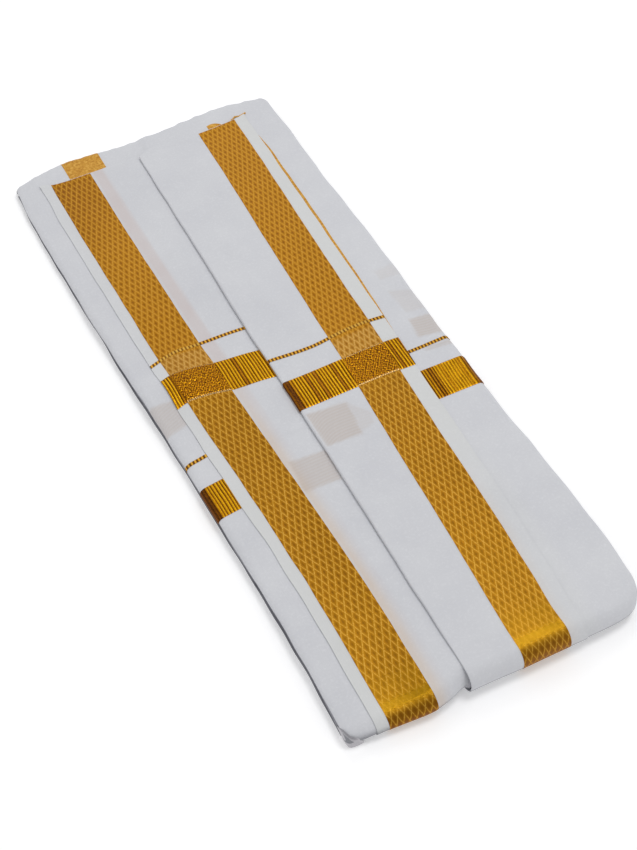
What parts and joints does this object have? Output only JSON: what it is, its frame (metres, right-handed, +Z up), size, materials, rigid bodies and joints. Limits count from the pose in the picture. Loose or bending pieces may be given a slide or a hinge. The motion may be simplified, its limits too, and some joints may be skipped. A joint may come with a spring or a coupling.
{
  "type": "folded angavastram",
  "caption": "White cotton angavastram with woven gold zari borders and cross bands, folded into a long flat bundle.",
  "frame": {"origin": "middle of the underside, on the surface that the folded cloth lies on", "axes": "+Y along the bundle from the plain folded end to the hemmed end, +X across it to the right panel's side, +Z up"},
  "size_m": [0.1789, 0.4397, 0.0194],
  "materials": {
    "cotton": "plain woven fine white cotton, matte",
    "hidden_cotton": "plain woven fine white cotton, matte, hidden layers",
    "zari_border": "woven gold zari with a fine diamond lattice, metallic sheen",
    "zari_band": "dense gold zari ribs, bright metallic sheen",
    "zari_reverse": "back of the woven zari, paler and duller gold"
  },
  "bodies": {
    "root": {"folded_core": "hidden_cotton", "under_panel_left": "cotton", "under_panel_right": "cotton", "far_under_panel": "cotton", "top_panel_left": "cotton", "top_panel_right": "cotton", "left_border_far": "zari_border", "left_border_near": "zari_border", "right_border_far": "zari_border", "right_border_near": "zari_border", "left_band": "zari_band", "right_band": "zari_band", "under_left_band": "zari_band", "under_right_band": "zari_band", "reverse_border_left": "zari_reverse", "reverse_border_right": "zari_reverse", "corner_flap": "hidden_cotton"}
  },
  "joints": []
}
